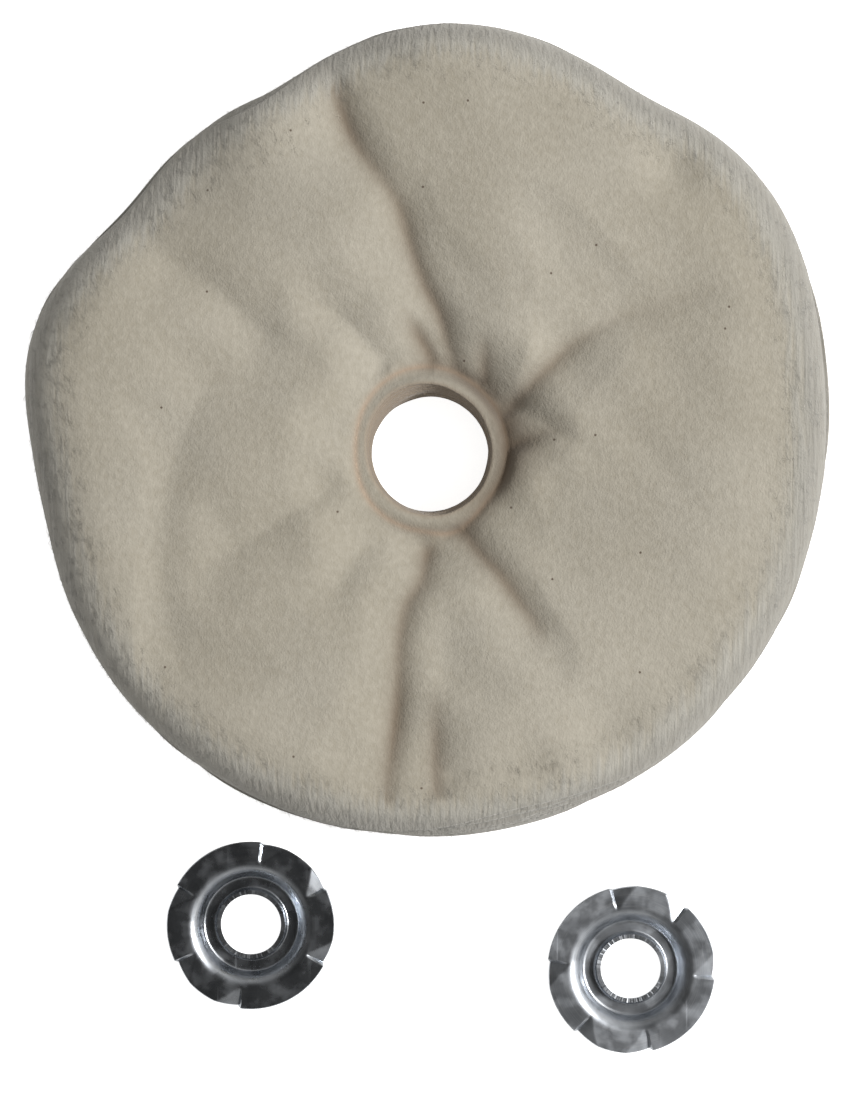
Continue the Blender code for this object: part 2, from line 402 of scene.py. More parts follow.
def ply_bore(index, degrees):
    """Inner radius of one ply: the bore opens towards the top and is never quite round."""
    level = index / (PLY_COUNT - 1)
    uneven = ripple(degrees, ((2, 0.12, 30.0 * index), (3, 0.10, 55.0 * index), (9, 0.05, 80.0 * index)))
    flare = BORE_FLARE + BORE_FLARE_FAR * bump_round(degrees, 112.0, 48.0)
    return BORE_RADIUS + 0.15 + flare * level**4 + uneven


def ply_sway(index, degrees, inside):
    """How far a ply wanders from its level near its edge, as a share of the ply pitch."""
    waves = np.clip(ripple(degrees, ply_waves(index)[::-1]), -1.0, 1.0)
    return waves * 0.35 * smooth(-22.0, 0.0, inside)


def ply_level(index, degrees, radius, outer):
    """Height of a ply's middle above the bench, and half its thickness."""
    low = bench_height(degrees, radius)
    pitch = (top_height(degrees, radius) - low) / PLY_COUNT
    middle = low + pitch * (index + 0.5 + ply_sway(index, degrees, radius - outer))
    return middle, pitch * HALF_SHARE


def ply_sheet(index, angles, rows):
    """Middle surface and half-thickness of one ply on a polar grid: x, y, z, half."""
    degrees = np.degrees(angles)[None, :]
    inner = ply_bore(index, degrees)
    outer = ply_edge(index, degrees)
    radius = inner + (outer - inner) * rows[:, None]
    degrees = np.broadcast_to(degrees, radius.shape)
    z, half = ply_level(index, degrees, radius, outer)
    x = radius * np.cos(np.radians(degrees))
    y = radius * np.sin(np.radians(degrees))
    return x, y, z, half


class SettledRise:
    """How far the top ply's slack lifts it off the plies below, from a cloth simulation.

    The ply is cut slightly too large, is held at the hub and in the bottoms of the folds, and
    puffs up between them. Heights are kept on a polar grid and read between its points.
    """

    def __init__(self):
        self.rise = np.zeros((SIM_ROWS, SIM_TURNS))
        self.simulate()

    def simulate(self):
        angles = np.linspace(0.0, 2.0 * math.pi, SIM_TURNS, endpoint=False)
        x, y, z, _ = ply_sheet(PLY_COUNT - 1, angles, np.linspace(0.0, 1.0, SIM_ROWS))
        grid = np.arange(x.size).reshape(x.shape)
        faces = np.concatenate([ring_quads(grid[i], grid[i + 1]) for i in range(SIM_ROWS - 1)])
        points = np.stack((x, y, z), axis=-1).reshape(-1, 3)
        sheet = mesh_object("settling_ply", points, faces)
        sheet.scale = (SIM_SCALE, SIM_SCALE, SIM_SCALE)
        start = sheet_heights(sheet)
        hold = np.zeros_like(x)
        for fold in FOLDS:
            if fold.deep >= HELD_DEPTH:
                hold = np.maximum(hold, fold.drop(x, y, widest=HELD_REACH) / fold.deep)
        hub = 1.0 - smooth(*HELD_HUB, np.hypot(x, y))
        hold = np.maximum(smooth(0.35, 0.75, hold), hub)
        group = sheet.vertex_groups.new(name="held")
        for point, weight in enumerate(hold.ravel()):
            if weight > 0.01:
                group.add([point], float(weight), "REPLACE")
        modifier = sheet.modifiers.new("slack", "CLOTH")
        modifier.point_cache.frame_end = SIM_STEPS + 1
        cloth = modifier.settings
        cloth.vertex_group_mass = "held"
        cloth.shrink_min = -SLACK_SHARE
        cloth.effector_weights.gravity = 0.0
        cloth.use_pressure = True
        cloth.uniform_pressure_force = 0.4
        cloth.bending_stiffness = 40.0
        cloth.tension_stiffness = 25.0
        cloth.compression_stiffness = 25.0
        cloth.shear_stiffness = 15.0
        cloth.quality = 8
        for step in range(1, SIM_STEPS + 1):
            bpy.context.scene.frame_set(step)
        rise = (sheet_heights(sheet) - start).reshape(x.shape)
        bpy.context.scene.frame_set(1)
        bpy.data.objects.remove(sheet)
        for _ in range(SIM_SMOOTHING):
            rise = (2.0 * rise + np.roll(rise, 1, axis=1) + np.roll(rise, -1, axis=1)) / 4.0
            rise[1:-1] = (2.0 * rise[1:-1] + rise[:-2] + rise[2:]) / 4.0
        self.rise = np.clip(SIM_STRENGTH * rise, SIM_SINK, SIM_RISE)

    def at(self, degrees, share):
        """The rise in a direction, at a share of the way from the bore to the edge."""
        turn = (degrees % 360.0) / 360.0 * SIM_TURNS
        row = np.clip(share, 0.0, 1.0) * (SIM_ROWS - 1)
        first = np.floor(turn).astype(int)
        low = np.minimum(np.floor(row).astype(int), SIM_ROWS - 2)
        across = turn - first
        along = row - low
        first = first % SIM_TURNS
        after = (first + 1) % SIM_TURNS
        near = self.rise[low, first] * (1.0 - across) + self.rise[low, after] * across
        far = self.rise[low + 1, first] * (1.0 - across) + self.rise[low + 1, after] * across
        return near * (1.0 - along) + far * along


def sheet_heights(sheet):
    """Heights of an object's points as they now stand, in millimetres at its mesh's own scale."""
    evaluated = sheet.evaluated_get(bpy.context.evaluated_depsgraph_get())
    points = np.empty(len(evaluated.data.vertices) * 3)
    evaluated.data.vertices.foreach_get("co", points)
    return points.reshape(-1, 3)[:, 2] / MM


def upper_face(degrees, radius):
    """Height of the top ply's upper side, with its sway and its settled rise."""
    index = PLY_COUNT - 1
    inner = ply_bore(index, degrees)
    outer = ply_edge(index, degrees)
    radius = np.clip(radius, inner, outer)
    middle, half = ply_level(index, degrees, radius, outer)
    return middle + half + RISE.at(degrees, (radius - inner) / (outer - inner))


def closed_sheet(name, x, y, z, half, under_rows):
    """A closed solid from a polar middle surface, with rounded inner and outer edges.

    under_rows picks the rows of the grid that the underside keeps.
    """
    rows, turns = x.shape
    upper = np.stack((x, y, z + half), axis=-1)
    under = np.stack((x, y, z - half), axis=-1)[under_rows]
    out_dir = np.stack((x[-1], y[-1]), axis=-1)
    out_dir /= np.linalg.norm(out_dir, axis=-1, keepdims=True)
    outer = np.stack((x[-1], y[-1], z[-1]), axis=-1)
    outer[:, :2] += out_dir * half[-1][:, None]
    inner = np.stack((x[0], y[0], z[0]), axis=-1)
    inner[:, :2] -= out_dir * half[0][:, None]
    points = np.concatenate((upper.reshape(-1, 3), under.reshape(-1, 3), outer, inner))
    grid = np.arange(rows * turns).reshape(rows, turns)
    low = rows * turns + np.arange(len(under_rows) * turns).reshape(len(under_rows), turns)
    rim = (rows + len(under_rows)) * turns + np.arange(turns)
    bore = rim + turns
    faces = [ring_quads(grid[i], grid[i + 1]) for i in range(rows - 1)]
    faces += [ring_quads(low[i + 1], low[i]) for i in range(len(low) - 1)]
    faces += [ring_quads(grid[-1], rim), ring_quads(rim, low[-1])]
    faces += [ring_quads(low[0], bore), ring_quads(bore, grid[0])]
    return mesh_object(name, points, np.concatenate(faces))


def ring_quads(first, second):
    """Quads between two rings of the same count, facing up when the second lies outside."""
    return np.stack((first, second, np.roll(second, -1), np.roll(first, -1)), axis=-1)


def mesh_object(name, points, faces):
    """A smooth-shaded mesh object from points in millimetres round the bore axis."""
    placed = (np.asarray(points) * MM + np.array((BORE_X, BORE_Y, 0.0))).tolist()
    mesh = bpy.data.meshes.new(name)
    mesh.from_pydata(placed, [], faces if isinstance(faces, list) else faces.tolist())
    mesh.shade_smooth()
    obj = bpy.data.objects.new(name, mesh)
    bpy.context.scene.collection.objects.link(obj)
    return obj


def set_attribute(obj, name, values):
    """A number or a vector for each point, which the material reads."""
    values = np.asarray(values, np.float32)
    kind, field = ("FLOAT", "value") if values.ndim == 1 else ("FLOAT_VECTOR", "vector")
    attribute = obj.data.attributes.new(name, kind, "POINT")
    attribute.data.foreach_set(field, values.ravel())


def plan_places(obj):
    """x and y of an object's points in millimetres from the bore axis."""
    points = np.empty(len(obj.data.vertices) * 3)
    obj.data.vertices.foreach_get("co", points)
    points = points.reshape(-1, 3) / MM
    return points[:, 0] - BORE_X / MM, points[:, 1] - BORE_Y / MM


def cloth_attributes(obj):
    """Stores where each point lies: in a crease, on the stitch line, near the edge or the bore, and how
    far the hub's stain and painted shade reach.
    """
    x, y = plan_places(obj)
    radius = np.hypot(x, y)
    degrees = np.degrees(np.arctan2(y, x))
    # painted shade: narrow, deep creases outside the hub are darkened brown
    tint = np.zeros_like(x)
    for fold in FOLDS:
        if fold.deep > 0.8 and min(fold.left, fold.right) < 3.8:
            tint = np.maximum(tint, fold.drop(x, y, widest=1.5) / fold.deep)
    tint *= smooth(HUB_RING_RADIUS - 2.0, HUB_RING_RADIUS, radius)
    away = np.abs(radius - ring_centre(degrees))
    set_attribute(obj, "stitch_line", np.exp(-((away / 0.6) ** 1.5)))
    # compound and wear have browned the right of the hub, and painted shade darkens it further, most of
    # all in the stitched crease
    spread = np.where(radius < ring_centre(degrees), 4.0, 2.5 + 3.0 * bump_round(degrees, 11.0, 27.0))
    stain_and_shade = np.exp(-((away / spread) ** 1.3)) * smooth(BORE_RADIUS + 0.3, BORE_RADIUS + 1.6, radius)
    set_attribute(obj, "stain_and_shade", stain_and_shade * bump_round(degrees, *STAIN_AND_SHADE_SIDE))
    set_attribute(obj, "crease", tint)
    # near the edge: frost and streaks of the brushed nap, and painted shade at the very edge
    set_attribute(obj, "edge", smooth(-13.0, -2.0, radius - outline_radius(degrees)))
    # painted shade: the bore's edge and wall are darkened brown
    set_attribute(obj, "bore", 1.0 - smooth(0.0, 1.6, radius - ply_bore(PLY_COUNT - 1, degrees) + 0.6))


# ---- flannel ----


def packed_rows(at_hub, between, at_edge):
    """Places from bore to edge as shares, packed into the hub and into the rolled edge."""
    hub = np.linspace(0.0, HUB_SHARE, at_hub, endpoint=False)
    middle = np.linspace(HUB_SHARE, 1.0 - EDGE_SHARE, between, endpoint=False)
    left = np.linspace(1.0, 0.0, at_edge)
    return np.concatenate((hub, middle, 1.0 - EDGE_SHARE * left**2))


def make_plies(material):
    """Every ply as a sheet of its own, the fewer points the less of it shows."""
    for index, node in enumerate(PLIES):
        below_top = PLY_COUNT - 1 - index
        turns, counts = FINE_GRID[min(below_top, len(FINE_GRID) - 1)]
        rows = packed_rows(*counts)
        angles = np.linspace(0.0, 2.0 * math.pi, turns, endpoint=False)
        x, y, z, half = ply_sheet(index, angles, rows)
        under_rows = np.arange(len(rows))
        if below_top == 0:
            z = z + RISE.at(*np.broadcast_arrays(np.degrees(angles)[None, :], rows[:, None]))
            under_rows = np.append(np.arange(0, len(rows) - 1, 2), len(rows) - 1)
        ply = closed_sheet(f"flannel_{node}", x, y, z, half, under_rows)
        cloth_attributes(ply)
        ply.data.materials.append(material)
        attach(ply, "buff")
        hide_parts(node)


# ---- nap ----


def fibres(name, roots, middles, tips, thick):
    """Tapered closed hairs, three-sided, each bent once."""
    count = len(roots)
    along = tips - roots
    along /= np.linalg.norm(along, axis=1, keepdims=True)
    side = np.cross(along, np.array((0.31, 0.17, 0.93)))
    side /= np.linalg.norm(side, axis=1, keepdims=True)
    other = np.cross(along, side)
    points = np.empty((count, 7, 3))
    for corner in range(3):
        angle = 2.0 * math.pi * corner / 3.0
        spoke = side * math.cos(angle) + other * math.sin(angle)
        points[:, corner] = roots + spoke * thick[:, None]
        points[:, 3 + corner] = middles + spoke * (0.75 * thick)[:, None]
    points[:, 6] = tips
    base = np.arange(count)[:, None, None] * 7
    quads = base + np.array(((0, 1, 4, 3), (1, 2, 5, 4), (2, 0, 3, 5)))
    caps = base + np.array(((3, 4, 6), (4, 5, 6), (5, 3, 6), (2, 1, 0)))
    faces = [*quads.reshape(-1, 4).tolist(), *caps.reshape(-1, 3).tolist()]
    return mesh_object(name, points.reshape(-1, 3), faces)


def make_combed_nap(material, tufts=1500, hairs=8):
    """Tufts of nap that lie over the rolled edge of the top ply, all brushed one way."""
    draw = np.random.default_rng(SEED + 1)
    angle = draw.uniform(0.0, 2.0 * math.pi, tufts)
    edge = ply_edge(PLY_COUNT - 1, np.degrees(angle))
    radius = edge - 0.3 - NAP_BAND * draw.uniform(0.0, 1.0, tufts) ** 1.5
    turn = BRUSHED_TURN + draw.normal(0.0, 8.0, tufts)
    length = draw.uniform(1.6, 3.6, tufts)
    spread = draw.normal(0.0, 0.55, (tufts, hairs, 2))
    start_x = (radius * np.cos(angle))[:, None] + spread[:, :, 0]
    start_y = (radius * np.sin(angle))[:, None] + spread[:, :, 1]
    turn = np.radians(turn[:, None] + draw.normal(0.0, 4.0, (tufts, hairs)))
    reach = length[:, None] * draw.uniform(0.6, 1.1, (tufts, hairs))
    places = []
    for share, lift in zip((0.0, 0.5, 1.0), NAP_LIFT):
        gather = 0.6 * share
        x = start_x - spread[:, :, 0] * gather + reach * share * np.cos(turn)
        y = start_y - spread[:, :, 1] * gather + reach * share * np.sin(turn)
        places.append(on_cloth(x.ravel(), y.ravel(), lift))
    nap = fibres("combed_nap", *places, draw.uniform(0.010, 0.018, tufts * hairs))
    pale = np.repeat(draw.uniform(0.0, 1.0, tufts), hairs * 7)
    finish_nap(nap, pale, material)


def on_cloth(x, y, lift):
    """Points that far above the top face; past its edge they droop."""
    degrees = np.degrees(np.arctan2(y, x))
    radius = np.hypot(x, y)
    past = np.clip(radius - ply_edge(PLY_COUNT - 1, degrees), 0.0, None)
    return np.stack((x, y, upper_face(degrees, radius) + lift - 1.6 * past), axis=-1)


def make_edge_nap(material, count=380):
    """Short loose ends on the cut edge of every ply, the same count on each."""
    draw = np.random.default_rng(SEED + 2)
    roots, middles, tips = [], [], []
    for index in range(PLY_COUNT):
        angle = draw.uniform(0.0, 2.0 * math.pi, count)
        degrees = np.degrees(angle)
        radius = ply_edge(index, degrees)
        low = bench_height(degrees, radius)
        pitch = (top_height(degrees, radius) - low) / PLY_COUNT
        height = low + pitch * (index + 0.5 + draw.uniform(-0.3, 0.3, count))
        root = np.stack((radius * np.cos(angle), radius * np.sin(angle), height), axis=-1)
        outward = np.stack((np.cos(angle), np.sin(angle), np.zeros(count)), axis=-1)
        around = np.stack((-np.sin(angle), np.cos(angle), np.zeros(count)), axis=-1)
        length = draw.uniform(0.5, 1.5, count)[:, None]
        lean = outward * 0.7 + around * draw.normal(0.0, 0.9, count)[:, None]
        lean[:, 2] = draw.normal(0.0, 0.15, count)
        curl = around * draw.normal(0.0, 0.5, count)[:, None]
        curl[:, 2] = -0.2
        roots.append(root)
        middles.append(root + lean * length * 0.5)
        tips.append(root + (lean + curl) * length)
    total = count * PLY_COUNT
    joined = [np.concatenate(part) for part in (roots, middles, tips)]
    for part in joined:
        part[:, 2] = np.maximum(part[:, 2], LOWEST_HAIR)
    nap = fibres("edge_nap", *joined, draw.uniform(0.020, 0.040, total))
    finish_nap(nap, np.repeat(draw.uniform(0.0, 1.0, total), 7), material)


def finish_nap(nap, pale, material):
    """Stores each hair's tone and the way the cloth under it faces, and lets it ride."""
    cloth_attributes(nap)
    set_attribute(nap, "pale", pale)
    x, y = plan_places(nap)
    inside = (outline_radius(np.degrees(np.arctan2(y, x))) - NORMAL_INSET) / np.hypot(x, y)
    x = x * np.minimum(1.0, inside)
    y = y * np.minimum(1.0, inside)
    level = on_cloth(x, y, 0.0)[:, 2]
    slope_x = (on_cloth(x + NORMAL_STEP, y, 0.0)[:, 2] - level) / NORMAL_STEP
    slope_y = (on_cloth(x, y + NORMAL_STEP, 0.0)[:, 2] - level) / NORMAL_STEP
    upright = np.stack((-slope_x, -slope_y, np.ones_like(x)), axis=-1)
    set_attribute(nap, "cloth_normal", upright / np.linalg.norm(upright, axis=1, keepdims=True))
    nap.data.materials.append(material)
    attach(nap, "buff")


# ---- stitching ----


STITCH_COUNT = 34
STITCH_HALF_LENGTH = 1.15
THREAD_RADIUS = 0.21
# how far a stitch's middle lies under the cloth, on the stained and shaded side too, and how far its ends
# dive
STITCH_SUNK = 0.15
STITCH_SUNK_DARK_SIDE = 0.22
STITCH_DIVE = 0.45
# height of a stitch's middle above the underside's flat
STITCH_LIFT = 0.10


def make_stitches(name, node, above, material, steps=8, sides=6):
    """The lockstitch circle on one face: short stitches that sink into the crease."""
    points, faces = [], []
    for stitch in range(STITCH_COUNT):
        middle = 2.0 * math.pi * stitch / STITCH_COUNT
        for step in range(steps + 1):
            share = step / steps * 2.0 - 1.0
            angle = middle + share * STITCH_HALF_LENGTH / HUB_RING_RADIUS
            degrees = np.array([math.degrees(angle)])
            centre = ring_centre(degrees)
            dive = STITCH_DIVE * share**4
            if above:
                sunk = STITCH_SUNK + STITCH_SUNK_DARK_SIDE * bump_round(degrees, *STAIN_AND_SHADE_SIDE)[0]
                height = upper_face(degrees, centre)[0] - sunk - dive
            else:
                height = BENCH_GAP + STITCH_LIFT + dive
            for side in range(sides):
                turn = 2.0 * math.pi * side / sides
                radius = centre[0] + THREAD_RADIUS * math.cos(turn)
                level = height + THREAD_RADIUS * math.sin(turn)
                points.append((radius * math.cos(angle), radius * math.sin(angle), level))
        first = stitch * (steps + 1) * sides
        for step in range(steps):
            for side in range(sides):
                a = first + step * sides + side
                b = first + step * sides + (side + 1) % sides
                faces.append((a, a + sides, b + sides, b))
        faces.append(tuple(first + side for side in range(sides)))
        faces.append(tuple(first + steps * sides + side for side in reversed(range(sides))))
    thread = mesh_object(name, points, faces)
    thread.data.materials.append(material)
    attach(thread, "buff")
    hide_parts(node)


# ---- flanges ----

SHEET = 0.9
HOLE_RADIUS = 6.45
RIM_RADIUS = 18.0
PILOT_DEPTH = 3.3
TEETH = ((36, 1), (90, 1), (144, -1), (216, 1), (270, 1), (324, -1))
TOOTH_DEPTH = 1.15
TOOTH_START = 13.3
TOOTH_BROAD = 15.0
TOOTH_STEEP = 2.0
# how far the sheet's edge is drawn in where a tooth is pressed
TOOTH_PULL = 0.5
RIM_CHAMFER = 0.16
# the collar round the hole lies inside this radius, and its top edge is torn about this deep
COLLAR_RADIUS = 8.0
TORN_DEPTH = 0.025
FLANGE_TURNS = 480
# edges of the sheet that turn by more than this, in degrees, stay crisp
CRISP = 28.0


def flange_section():
    """Middle of the sheet from the hole outwards, with its bends rounded: (radius, height)."""
    half = SHEET / 2
    rim = PILOT_DEPTH + half
    corners = (
        (HOLE_RADIUS + half, half + 1.9, 0.0),
        (HOLE_RADIUS + half + 0.08, half + 0.9, 0.5),
        (HOLE_RADIUS + half + 0.75, half, 0.8),
        (10.5, half, 0.9),
        (11.6, half + 2.2, 0.8),
        (12.9, rim, 1.1),
        (RIM_RADIUS, rim, 0.0),
    )
    return rounded(corners)


def rounded(corners, steps=5):
    """A polyline whose corners are replaced with curves that start the given length away."""
    points = [np.array(corners[0][:2])]
    for index in range(1, len(corners) - 1):
        corner = np.array(corners[index][:2])
        before = np.array(corners[index - 1][:2]) - corner
        after = np.array(corners[index + 1][:2]) - corner
        cut = min(corners[index][2], 0.48 * np.linalg.norm(before), 0.48 * np.linalg.norm(after))
        start = corner + before / np.linalg.norm(before) * cut
        end = corner + after / np.linalg.norm(after) * cut
        for step in range(steps + 1):
            t = step / steps
            points.append((1 - t) ** 2 * start + 2 * t * (1 - t) * corner + t * t * end)
    points.append(np.array(corners[-1][:2]))
    return np.array(points)


def tooth_share(degrees, outward):
    """1 in a tooth's crease, 0 on the flat rim: a broad triangular facet and a steep side."""
    share = np.zeros_like(degrees)
    for direction, broad_side in TEETH:
        offset = turn_between(degrees, direction) * broad_side
        broad = np.clip(1.0 - offset / (2.0 + TOOTH_BROAD * outward), 0.0, 1.0) * (offset >= 0.0)
        steep = np.clip(1.0 + offset / TOOTH_STEEP, 0.0, 1.0) * (offset < 0.0)
        share = np.maximum(share, np.maximum(broad, steep))
    return share


def make_flange(node, turn, material):
    """One stamped flange: a turned sheet with teeth pressed into its rim."""
    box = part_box(node)
    centre = (box[0] + box[1]) / 2
    section = flange_section()
    rim_rows = np.linspace(section[-2], section[-1], 14)[1:]
    section = np.concatenate((section[:-1], rim_rows))
    slope = np.gradient(section, axis=0)
    normal = np.stack((-slope[:, 1], slope[:, 0]), axis=-1)
    normal /= np.linalg.norm(normal, axis=1, keepdims=True)
    half = SHEET / 2
    upper = section + normal * half
    under = section - normal * half
    rim_half = half - RIM_CHAMFER
    rim = section[-1][1]
    outer = np.array(((RIM_RADIUS, rim + rim_half), (RIM_RADIUS, rim - rim_half)))
    upper[-1][0] = RIM_RADIUS - RIM_CHAMFER
    under[-1][0] = RIM_RADIUS - RIM_CHAMFER
    loop = np.concatenate((upper, outer, under[::-1]))
    angles = np.linspace(0.0, 2.0 * math.pi, FLANGE_TURNS, endpoint=False)
    local = np.degrees(angles)
    outward = np.clip((loop[:, 0] - TOOTH_START) / (RIM_RADIUS - TOOTH_START), 0.0, 1.0)[:, None]
    share = tooth_share(np.broadcast_to(local, (len(loop), FLANGE_TURNS)), outward)
    press = TOOTH_DEPTH * outward**0.9 * share
    # the hole was pierced and drawn, so the collar's top edge is a little torn
    draw = np.random.default_rng(SEED + 11)
    torn = np.zeros(FLANGE_TURNS)
    for count in (5, 9, 17, 31, 47, 83):
        torn += TORN_DEPTH * draw.uniform(0.4, 1.0) * np.sin(count * angles + draw.uniform(0.0, 6.28))
    near_top = np.clip((loop[:, 1] - (half + 1.0)) / 1.2, 0.0, 1.0) * (loop[:, 0] < COLLAR_RADIUS)
    radius = loop[:, 0][:, None] - TOOTH_PULL * outward**2 * share
    height = loop[:, 1][:, None] - press + near_top[:, None] * torn[None, :]
    x = radius * np.cos(angles + math.radians(turn))[None, :]
    y = radius * np.sin(angles + math.radians(turn))[None, :]
    points = np.stack((x, y, height), axis=-1).reshape(-1, 3)
    points[:, 0] += centre.x / MM - BORE_X / MM
    points[:, 1] += centre.y / MM - BORE_Y / MM
    grid = np.arange(points.shape[0]).reshape(len(loop), FLANGE_TURNS)
    faces = np.concatenate([ring_quads(grid[i - 1], grid[i]) for i in range(len(loop))])
    piece = mesh_object(f"stamped_{node}", points, faces)
    piece.data.set_sharp_from_angle(angle=math.radians(CRISP))
    turned = np.stack((np.broadcast_to(loop[:, :1], radius.shape), x / radius, y / radius), axis=-1)
    set_attribute(piece, "brushed", turned.reshape(-1, 3))
    piece.data.materials.append(material)
    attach(piece, node)
    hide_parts(node)


# ---- materials ----


class Nodes:
    """A short way to write node trees: every call adds one node and links its inputs."""

    def __init__(self, owner):
        owner.use_nodes = True
        self.tree = owner.node_tree

    def add(self, kind, settings=None, **inputs):
        node = self.tree.nodes.new(kind)
        for key, value in (settings or {}).items():
            setattr(node, key, value)
        for key, value in inputs.items():
            self.feed(node.inputs[key.replace("_", " ")], value)
        return node

    def feed(self, socket, value):
        if isinstance(value, bpy.types.NodeSocket):
            self.tree.links.new(value, socket)
        else:
            socket.default_value = value

    def math(self, operation, *values):
        node = self.tree.nodes.new("ShaderNodeMath")
        node.operation = operation
        for socket, value in zip(node.inputs, values):
            self.feed(socket, value)
        return node.outputs[0]

    def times(self, first, second):
        return self.math("MULTIPLY", first, second)

    def choose(self, factor, first, second):
        node = self.tree.nodes.new("ShaderNodeMix")
        for index, entry in ((0, factor), (2, first), (3, second)):
            self.feed(node.inputs[index], entry)
        return node.outputs[0]

    def mix(self, factor, first, second):
        node = self.tree.nodes.new("ShaderNodeMix")
        node.data_type = "RGBA"
        self.feed(node.inputs[0], factor)
        self.feed(node.inputs[6], first)
        self.feed(node.inputs[7], second)
        return node.outputs[2]

    def ramp(self, value, low, high):
        """value rescaled so that low gives 0 and high gives 1."""
        node = self.tree.nodes.new("ShaderNodeMapRange")
        node.interpolation_type = "SMOOTHSTEP"
        for socket, entry in zip(node.inputs, (value, low, high, 0.0, 1.0)):
            self.feed(socket, entry)
        return node.outputs[0]


class Shading(Nodes):
    """The node tree of one material, with textures in the object's own space."""

    def __init__(self, name):
        self.material = bpy.data.materials.new(name)
        super().__init__(self.material)
        self.shader = self.tree.nodes["Principled BSDF"]

    def place(self, scale=(1.0, 1.0, 1.0), turn=0.0):
        coords = self.add("ShaderNodeTexCoord").outputs["Object"]
        mapping = self.add("ShaderNodeMapping", Vector=coords)
        mapping.inputs["Scale"].default_value = scale
        mapping.inputs["Rotation"].default_value = (0.0, 0.0, turn)
        return mapping.outputs[0]

    def noise(self, scale, detail, stretch=(1.0, 1.0, 1.0), turn=0.0):
        node = self.add("ShaderNodeTexNoise", Vector=self.place(stretch, turn))
        node.inputs["Scale"].default_value = scale
        node.inputs["Detail"].default_value = detail
        return node.outputs[0]

    def attribute(self, name, output="Fac"):
        return self.add("ShaderNodeAttribute", {"attribute_name": name}).outputs[output]

    def bump(self, height, strength, distance):
        node = self.add("ShaderNodeBump", Height=height)
        node.inputs["Strength"].default_value = strength
        node.inputs["Distance"].default_value = distance
        return node.outputs[0]

    def set(self, **inputs):
        for key, value in inputs.items():
            self.feed(self.shader.inputs[key.replace("_", " ")], value)


def colour(red, green, blue):
    return (red, green, blue, 1.0)


def flannel_material():
    """Unbleached napped cotton: cream, mottled by its nap, with seed flecks and soft creases, and painted
    shade in its creases, bore, browned hub and rolled edge.
    """
    s = Shading("napped_flannel")
    mottle = s.ramp(s.noise(30.0, 3.0), 0.35, 0.68)
    tone = s.mix(mottle, colour(0.333, 0.308, 0.254), colour(0.367, 0.343, 0.290))
    clumps = s.noise(800.0, 3.0, stretch=(1.0, 0.85, 1.0), turn=0.35)
    tone = s.mix(s.times(s.ramp(clumps, 0.42, 0.75), 0.22), tone, colour(0.50, 0.47, 0.40))
    tone = s.mix(s.times(s.ramp(clumps, 0.50, 0.28), 0.22), tone, colour(0.28, 0.25, 0.19))
    # threads of the ground weave show faintly through the nap
    threads = []
    for direction in ("X", "Y"):
        wave = s.add("ShaderNodeTexWave", {"bands_direction": direction}, Vector=s.place(), Scale=290.0)
        wave.inputs["Distortion"].default_value = 4.0
        wave.inputs["Detail"].default_value = 2.0
        wave.inputs["Detail Scale"].default_value = 4.0
        threads.append(wave.outputs["Fac"])
    weave = s.math("ADD", *threads)
    tone = s.mix(s.times(weave, 0.025), tone, colour(0.25, 0.22, 0.17))
    # folds and the bore get painted brownish shade, the hub's brown stain is deepened with painted shade,
    # and the brushed edge has lost its cream
    crease = s.attribute("crease")
    tone = s.mix(s.times(s.attribute("stitch_line"), 0.60), tone, colour(0.440, 0.315, 0.225))
    # painted shade in the creases
    tone = s.mix(s.times(crease, 0.62), tone, colour(0.150, 0.112, 0.078))
    # painted shade down the bore
    tone = s.mix(s.times(s.attribute("bore"), 0.65), tone, colour(0.230, 0.165, 0.115))
    # the hub's brown stain, deepened with painted shade
    tone = s.mix(s.times(s.attribute("stain_and_shade"), 0.92), tone, colour(0.092, 0.067, 0.045))
    streaks = s.noise(1000.0, 3.0, stretch=(1.0, 0.08, 0.4), turn=0.36)
    edge = s.math("ADD", s.attribute("edge"), s.times(s.math("SUBTRACT", streaks, 0.5), 0.9))
    edge = s.times(s.ramp(edge, 0.20, 0.90), s.ramp(s.attribute("edge"), 0.0, 0.3))
    tone = s.mix(s.times(edge, 0.80), tone, colour(0.334, 0.325, 0.294))
    streaky = s.times(s.attribute("edge"), s.ramp(streaks, 0.35, 0.65))
    tone = s.mix(s.times(streaky, 0.35), tone, colour(0.404, 0.396, 0.366))
    # painted shade on the outermost edge, where the cloth rolls under and faces away from the light
    rolled_edge_shade = s.ramp(s.attribute("edge"), 0.70, 1.05)
    tone = s.mix(s.times(rolled_edge_shade, 0.40), tone, colour(0.158, 0.151, 0.141))
    # seed flecks: a small dark dot in a few of the cells
    cells = s.add("ShaderNodeTexVoronoi", {"voronoi_dimensions": "2D"}, Vector=s.place(), Scale=110.0)
    lot = s.add("ShaderNodeSeparateColor", Color=cells.outputs["Color"]).outputs[0]
    chosen = s.math("GREATER_THAN", lot, 0.90)
    dot = s.ramp(cells.outputs["Distance"], 0.038, 0.016)
    inland = s.math("SUBTRACT", 1.0, s.attribute("edge"))
    fleck = s.times(s.times(chosen, dot), inland)
    tone = s.mix(s.times(fleck, 0.85), tone, colour(0.07, 0.045, 0.03))
    # nap: fine fuzz everywhere and combed streaks on the edge
    fuzz = s.noise(2600.0, 2.0, stretch=(1.0, 0.75, 1.0), turn=0.35)
    height = s.math("ADD", s.times(clumps, 0.6), s.times(fuzz, 0.5))
    height = s.math("ADD", height, s.times(s.noise(190.0, 2.0), 0.5))
    height = s.math("ADD", height, s.times(streaks, s.times(s.attribute("edge"), 2.2)))
    s.set(
        Base_Color=tone,
        Roughness=0.95,
        Normal=s.bump(height, 0.5, 0.0005),
        Sheen_Weight=0.25,
        Sheen_Roughness=0.55,
        Sheen_Tint=colour(0.98, 0.97, 0.95),
        Specular_IOR_Level=0.12,
    )
    return s.material


